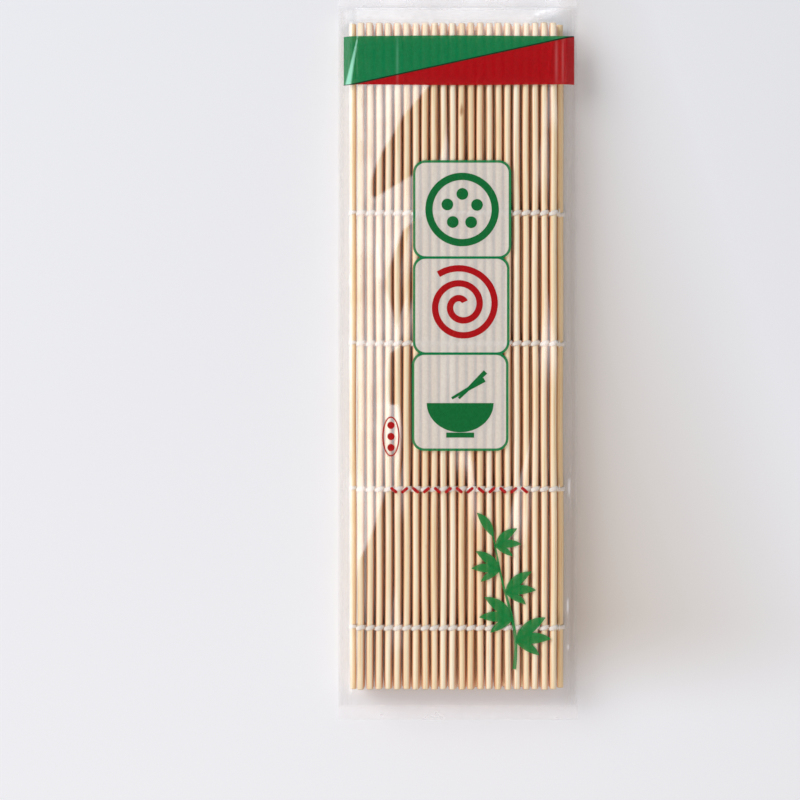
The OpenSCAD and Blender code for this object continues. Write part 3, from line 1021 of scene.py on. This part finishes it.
# %% [markdown]
# ## The header band
# Across the mouth end runs a band, green at the upper left and red at the lower right, parted by a long
# diagonal with a thin dark line on it. It wraps over both shoulders of the pouch. Each colour is the grid
# between the diagonal and one edge of the band. Near its left end a narrow wedge of painted highlight
# lightens the ink where the film is creased, and a few soft painted highlight streaks run down the band.

# %% Header band
BAND_LOW, BAND_HIGH = 97.4 * MM, 115.0 * MM
BAND_LEFT, BAND_RIGHT = -40.8 * MM, 42.1 * MM
BAND_SAG = 0.12 * MM
DIAGONAL = ((-38.4 * MM, BAND_LOW), (42.2 * MM, BAND_HIGH))
LINE_W = 0.5 * MM
HIGHLIGHT_STREAKS = [(35.6 * MM, 0.5 * MM), (37.9 * MM, 0.35 * MM), (-21.5 * MM, 0.4 * MM)]
CREASE_TOP, CREASE_FOOT, CREASE_W = -35.7 * MM, -39.2 * MM, 1.2 * MM
CREASE_HIGHLIGHT, STREAK_HIGHLIGHT = 0.8, 0.16

band_s = np.linspace(s_of(BAND_LEFT), s_of(BAND_RIGHT), 240)[None, :]
band_x = np.interp(band_s, line_s, line_x)
split = np.interp(band_x, [DIAGONAL[0][0], DIAGONAL[1][0]], [DIAGONAL[0][1], DIAGONAL[1][1]])
rows_share = np.linspace(0, 1, 22)[:, None]
sag = BAND_SAG * np.cos(band_x / (13 * MM))
for name, low, high, colour, slot in (
    ("band_red", BAND_LOW - sag, split, red_ink, "red_print"),
    ("band_green", split, BAND_HIGH + sag, green_ink, "green_print"),
):
    band_y = low + (high - low) * rows_share
    down = np.clip((BAND_HIGH - band_y) / (BAND_HIGH - BAND_LOW), 0, 1)
    off = np.abs(band_x - (CREASE_TOP + (CREASE_FOOT - CREASE_TOP) * down))
    # Painted highlights: the crease's narrow wedge, and soft streaks down the band.
    crease = CREASE_HIGHLIGHT * (1 - step(off, 0.5 * CREASE_W * down, CREASE_W * down + 0.15 * MM))
    for streak_x, streak_w in HIGHLIGHT_STREAKS:
        bell = STREAK_HIGHLIGHT * np.exp(-((band_x - streak_x) / streak_w) ** 2)
        crease = crease + bell * np.sin(np.pi * down) ** 0.5
    band = surface(name, film_at(band_s, band_y, INK_LIFT), values={"crease": crease})
    prints.append(dress(band, "pouch", slot, colour))
line_y = split + LINE_W * np.linspace(-0.5, 0.5, 3)[:, None]
line = surface("band_line", film_at(band_s, np.clip(line_y, BAND_LOW, BAND_HIGH), 2 * INK_LIFT))
prints.append(dress(line, "pouch", "green_print", line_ink))
print("band pieces:", len(prints))

# %% [markdown]
# ## Three panels
# Down the middle stand three rounded squares with a green border and a thin white ground. Each holds one
# plain kitchen sign: a slice of roll, a rolled mat seen from its end, and a bowl with two sticks. The signs
# are rings, discs and pen strokes.

# %% Panels
PANEL_X, PANEL_TOP = 1.75 * MM, 70.3 * MM
PANEL_W, PANEL_PITCH = 35.3 * MM, 34.5 * MM
BORDER, PANEL_CORNER = 0.9 * MM, 4.5 * MM
PANEL_H = PANEL_PITCH + BORDER


def panel(n, colour, slot, draw):
    """White ground, green border, and the sign that draw makes around the panel's middle."""
    centre = (PANEL_X - 0.35 * MM * n, PANEL_TOP - n * PANEL_PITCH - PANEL_H / 2)
    half_w = PANEL_W / 2 - 0.3 * MM * min(n, 1)
    edge = rounded_square(half_w, PANEL_H / 2, PANEL_CORNER)
    ground = rounded_square(half_w - BORDER, PANEL_H / 2 - BORDER, PANEL_CORNER - BORDER)
    printed(f"panel_{n + 1}_ground", *between(centre, pinhole, ground, 192, 20),
            white_ink, "white_print")
    printed(f"panel_{n + 1}_border", *between(centre, ground, edge, 192, 3), green_ink, "green_print",
            (1 + 0.25 * n) * INK_LIFT)
    for i, (x, y) in enumerate(draw(centre)):
        printed(f"panel_{n + 1}_sign_{i + 1}", x, y, colour, slot, (2 + 0.25 * i) * INK_LIFT)


def roll_slice(centre):
    """A ring for the leaf, and five discs for what it wraps."""
    yield between(centre, oval(10.6 * MM, 10.6 * MM), oval(13.2 * MM, 13.2 * MM), rings=4)
    for k in range(5):
        t = 2 * np.pi * k / 5 + 0.3
        middle = (centre[0] + 5.6 * MM * math.cos(t), centre[1] + 5.6 * MM * math.sin(t))
        yield between(middle, pinhole, oval(2.1 * MM, 2.1 * MM), steps=40, rings=4)


def rolled_mat(centre):
    """A spiral, radius growing evenly with the angle, drawn with a broad pen, and a straight end."""
    t = np.linspace(0.8, 2 * np.pi * 2.35, 150)
    r = 1.2 * MM + 0.86 * MM * t
    yield stroke(np.column_stack([centre[0] + r * np.cos(t), centre[1] + r * np.sin(t)]), 2.3 * MM)


def bowl_and_sticks(centre):
    """Half a disc for the bowl, a foot, and two tapered strokes for the sticks."""
    t = np.linspace(np.pi, 2 * np.pi, 60)[None, :]
    share = np.linspace(0, 1, 8)[:, None]
    yield centre[0] + 12 * MM * np.cos(t), centre[1] - 0.5 * MM + 10.5 * MM * np.sin(t) * share
    yield stroke([(centre[0] - 5 * MM + 10 * MM * k / 9, centre[1] - 12 * MM) for k in range(10)], 1.8 * MM)
    for k, lean in enumerate((0.52, 0.78)):
        base = (centre[0] - 3 * MM + 2.5 * MM * k, centre[1] + 1.2 * MM)
        reach = np.linspace(0, 13.5 * MM, 12)
        line = np.column_stack([base[0] + reach * math.cos(lean), base[1] + reach * math.sin(lean)])
        yield stroke(line, np.linspace(0.9, 1.7, 12) * MM)


panel(0, deep_ink, "green_print", roll_slice)
panel(1, red_ink, "red_print", rolled_mat)
panel(2, deep_ink, "green_print", bowl_and_sticks)
print("band and panel pieces:", len(prints))

# %% [markdown]
# ## Small red marks and a leafy sprig
# Left of the last panel sits a small red oval, under it a row of red marks runs across, and a green sprig
# fills the lower right. The sprig is a bent stem with pairs of pointed leaves. A leaf is a stroke whose
# width swells and shrinks like a sine.

# %% Oval, row of marks and sprig
OVAL_AT, OVAL_SIZE = (-23.8 * MM, -28.9 * MM), (3.1 * MM, 7.2 * MM)
inner = oval(OVAL_SIZE[0] - 0.5 * MM, OVAL_SIZE[1] - 0.5 * MM)
printed("oval_ring", *between(OVAL_AT, inner, oval(*OVAL_SIZE), rings=3), red_ink, "red_print")
for k in (-1, 0, 1):
    dot = (OVAL_AT[0], OVAL_AT[1] + 4.0 * MM * k)
    printed(f"oval_dot_{k + 2}", *between(dot, pinhole, oval(1.3 * MM, 1.3 * MM), 32, 4),
            red_ink, "red_print")

MARKS, MARKS_FROM, MARKS_TO, MARKS_Y = 13, -22.8 * MM, 24.2 * MM, -48.2 * MM
for k in range(MARKS):
    middle = (MARKS_FROM + (MARKS_TO - MARKS_FROM) * k / (MARKS - 1), MARKS_Y)
    wave = rounded_square(1.5 * MM, 0.55 * MM, 0.5 * MM)
    printed(f"mark_{k + 1}", *between(middle, pinhole, wave, 32, 4,
                                      tilt=0.7 if k % 2 else -0.7), red_ink, "red_print")

STEM_FOOT, STEM_H, STEM_LEAN = (20.5 * MM, -112.5 * MM), 49.0 * MM, -8.5 * MM
LEAF_L, LEAF_W = 15.0 * MM, 4.6 * MM


def stem_at(share):
    """Place on the stem: height grows evenly, and it leans as the square of the height."""
    lean = STEM_LEAN * share ** 2 + 0.8 * MM * np.sin(7 * share)
    return np.array([STEM_FOOT[0] + lean, STEM_FOOT[1] + STEM_H * share])


def leaf(place, heading, size):
    """A pointed leaf: its middle line droops, and its width is a sine of the distance along it."""
    share = np.linspace(0, 1, 20)
    bend = heading - 0.5 * share * np.sign(math.cos(heading))
    step = np.column_stack([np.cos(bend), np.sin(bend)]) * LEAF_L * size / 19
    middle = place + np.cumsum(step, axis=0) - step[0]
    return stroke(middle, LEAF_W * size * np.sin(np.pi * np.clip(share, 0.01, 0.99)) ** 0.8)


stem = np.array([stem_at(v) for v in np.linspace(0, 1, 30)])
printed("sprig_stem", *stroke(stem, np.linspace(1.3, 0.5, 30) * MM), leaf_ink, "green_print")
leaves = [(0.20, 1), (0.36, -1), (0.56, 1), (0.72, -1), (0.90, 1)]
for n, (share, way) in enumerate(leaves):
    for k, lift in enumerate((0.95, 0.35, -0.25)):
        heading = lift if way > 0 else math.pi - lift
        size = (1.0 - 0.35 * share) * (1, 0.92, 0.7)[k]
        printed(f"sprig_leaf_{n + 1}_{k + 1}", *leaf(stem_at(share), heading, size), leaf_ink, "green_print",
                (1 + 0.3 * k) * INK_LIFT)
printed("sprig_tip", *leaf(stem_at(0.97), 1.9, 0.7), leaf_ink, "green_print", 1.6 * INK_LIFT)
print("printed pieces:", len(prints))

# %% [markdown]
# ## Own meshes for the pouch pieces
# The mat opens only when it is out of the pouch. An empty pouch lies flat, with the front film and its print
# on the back film, and the flap slides under the mat as the pouch is pulled off and is pressed flat by the
# mat's weight. This cell only gives the front film, its print, the flap and the adhesive their own meshes;
# an offset over the one below, up to a few hundredths of a millimetre, is worked out for each but not used.

# %% Give the pouch pieces their own meshes
for piece in [front, *prints]:
    over = 0 if piece is front else 0.008 * MM
    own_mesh(piece)
for piece, over in ((flap, 0), (adhesive, 0.02 * MM)):
    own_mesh(piece)
